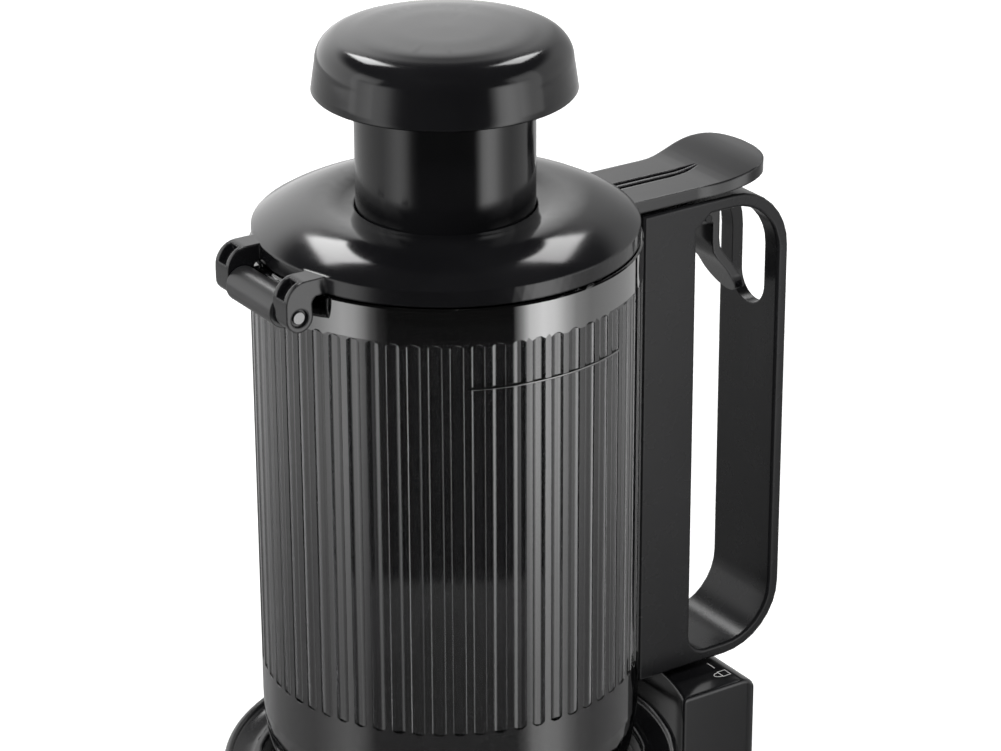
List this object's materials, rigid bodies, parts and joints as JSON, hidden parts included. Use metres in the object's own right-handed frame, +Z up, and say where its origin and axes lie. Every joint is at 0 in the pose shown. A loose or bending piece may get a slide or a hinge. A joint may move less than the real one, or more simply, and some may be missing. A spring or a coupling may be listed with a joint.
{
  "type": "cold press juicer",
  "caption": "Upright cold press juicer with geared motor base, strainer and auger, fluted twist-lock hopper with loop handle, hinged lid and mushroom-headed pusher.",
  "frame": {"origin": "on the table, on the common axis of the auger, bowl, hopper and pusher", "axes": "+Z up along the auger axis; +X towards the handle and the tower; -X towards the lid hinge and the pulp outlet; -Y towards the juice spout"},
  "size_m": [0.252, 0.221, 0.4894],
  "materials": {
    "black_gloss": "gloss",
    "black_satin": "satin",
    "smoke": "gloss",
    "steel": "brushed",
    "rubber": "matte",
    "white_nylon": "satin",
    "seal_grey": "matte",
    "board": "matte"
  },
  "bodies": {
    "base": {"base_housing": "black_gloss", "bottom_cover": "black_satin", "rubber_feet": "rubber", "cover_screws": "steel", "motor_can": "steel", "gear_plate_lower": "steel", "gear_plate_upper": "steel", "gear_pins": "steel", "plate_posts": "steel", "control_board": "board", "selector_switch": "black_satin", "inlet_bush": "rubber", "shaft_seal": "rubber", "reed_switch": "black_satin", "juicing_bowl": "smoke", "bowl_collar": "black_gloss", "bowl_seal": "seal_grey", "strainer": "steel", "juice_cap_pin": "steel", "pulp_plug": "seal_grey"},
    "drive": {"drive_gear": "white_nylon", "drive_shaft": "steel", "auger": "black_satin"},
    "cluster_b": {"gear_cluster_b": "white_nylon"},
    "cluster_a": {"gear_cluster_a": "white_nylon"},
    "motor": {"motor_pinion": "steel"},
    "knob": {"selector_knob": "black_satin"},
    "juice_cap": {"juice_cap": "black_satin", "juice_cap_seal": "seal_grey"},
    "hopper": {"hopper": "smoke", "hopper_gasket": "seal_grey", "handle": "black_satin", "handle_screws": "steel", "handle_magnet": "steel", "trigger_pin": "steel", "trigger_spring": "steel"},
    "trigger": {"trigger": "black_gloss"},
    "lid": {"lid": "black_gloss", "lid_hinge_pin": "steel", "lid_gasket": "seal_grey", "pusher_wiper": "seal_grey"},
    "pusher": {"pusher_tube": "black_gloss", "pusher_cap": "black_gloss", "pusher_foot": "black_satin"}
  },
  "joints": [
    {"name": "auger_spin", "type": "hinge", "parent": "base", "child": "drive", "pos_m": [0, 0, 0.09], "axis": [0, 0, 1], "continuous": true},
    {"name": "second_gear_spin", "type": "hinge", "parent": "base", "child": "cluster_b", "pos_m": [-0.042, 0, 0.07], "axis": [0, 0, 1], "continuous": true},
    {"name": "first_gear_spin", "type": "hinge", "parent": "base", "child": "cluster_a", "pos_m": [-0.027, 0.02598, 0.065], "axis": [0, 0, 1], "continuous": true},
    {"name": "motor_spin", "type": "hinge", "parent": "base", "child": "motor", "pos_m": [0.0018, 0.02598, 0.055], "axis": [0, 0, 1], "continuous": true},
    {"name": "selector_turn", "type": "hinge", "parent": "base", "child": "knob", "pos_m": [0.093, -0.06, 0.058], "axis": [0, -1, 0], "range_deg": [-45, 45]},
    {"name": "juice_cap_hinge", "type": "hinge", "parent": "base", "child": "juice_cap", "pos_m": [0, -0.1178, 0.151], "axis": [-1, 0, 0], "range_deg": [0, 95]},
    {"name": "hopper_twist", "type": "hinge", "parent": "base", "child": "hopper", "pos_m": [0, 0, 0.19], "axis": [0, 0, 1], "range_deg": [0, 34]},
    {"name": "trigger_pull", "type": "hinge", "parent": "hopper", "child": "trigger", "pos_m": [0.107, 0, 0.399], "axis": [0, 1, 0], "range_deg": [0, 12], "stiffness_Nm_per_rad": 0.05, "springref_deg": -11.46, "deforming": ["trigger_spring"]},
    {"name": "lid_hinge", "type": "hinge", "parent": "hopper", "child": "lid", "pos_m": [-0.0748, 0, 0.4056], "axis": [0, -1, 0], "range_deg": [0, 100]},
    {"name": "pusher_slide", "type": "slide", "parent": "lid", "child": "pusher", "axis": [0, 0, 1], "range_m": [-0.04, 0]}
  ],
  "couplings": [
    {"joint": "second_gear_spin", "follows": "auger_spin", "ratio": -3.6667},
    {"joint": "first_gear_spin", "follows": "auger_spin", "ratio": 14.667},
    {"joint": "motor_spin", "follows": "auger_spin", "ratio": -73.333}
  ]
}
